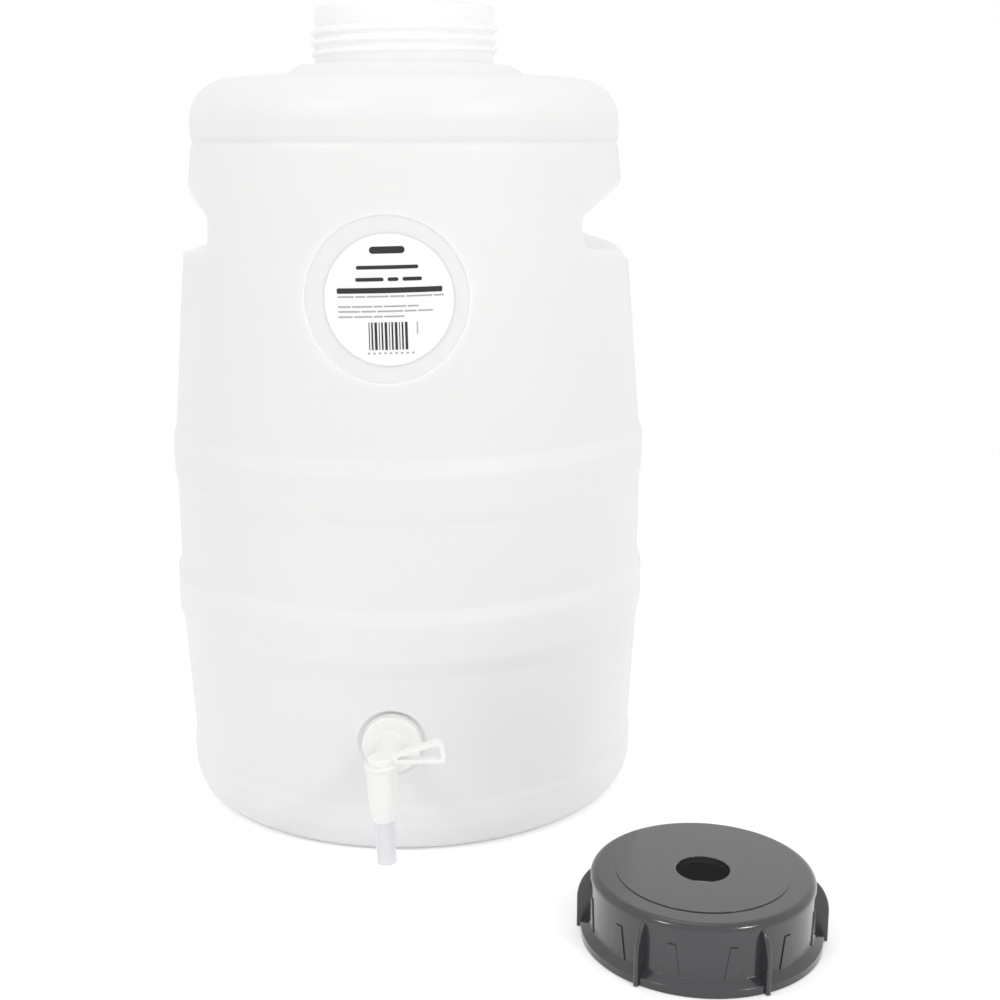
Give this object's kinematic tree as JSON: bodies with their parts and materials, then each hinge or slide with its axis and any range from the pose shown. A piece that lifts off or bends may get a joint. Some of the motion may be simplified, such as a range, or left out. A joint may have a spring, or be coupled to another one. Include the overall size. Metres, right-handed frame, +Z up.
{
  "type": "fermenting barrel",
  "caption": "Round blown plastic brewing barrel with hoops, hand grips, a threaded neck, a lever tap with an outlet tube, and a finned screw cap with a centre hole lying beside it.",
  "frame": {"origin": "on the barrel's axis, at the floor that it stands on", "axes": "+Z up along the barrel's axis, -Y towards the front with the tap and the label, +X to the right seen from the front"},
  "size_m": [0.3849, 0.44, 0.484],
  "materials": {
    "natural_polythene": "satin, milky white, lets light through",
    "label_paper": "coated paper",
    "tap_plastic": "semi-gloss warm white",
    "washer_rubber": "soft white",
    "clear_tube": "clear flexible, slightly blue",
    "cap_plastic": "glossy near-black",
    "seal_rubber": "soft light grey"
  },
  "bodies": {
    "barrel": {"barrel_shell": "natural_polythene", "front_label": "label_paper", "tap_body": "tap_plastic", "tap_outer_washer": "washer_rubber", "tap_inner_washer": "washer_rubber", "tap_back_nut": "tap_plastic", "outlet_tube": "clear_tube"},
    "lever": {"tap_lever": "tap_plastic"},
    "cap": {"screw_cap": "cap_plastic", "cap_seal": "seal_rubber"}
  },
  "joints": [
    {"name": "lever_turn", "type": "hinge", "parent": "barrel", "child": "lever", "pos_m": [0, -0.19841, 0.0705], "axis": [0.0349, 0, -0.9994], "range_deg": [0, 90]},
    {"name": "cap_lift", "type": "slide", "parent": "barrel", "child": "cap", "axis": [0, 0, 1], "range_m": [0, 0.5]}
  ]
}
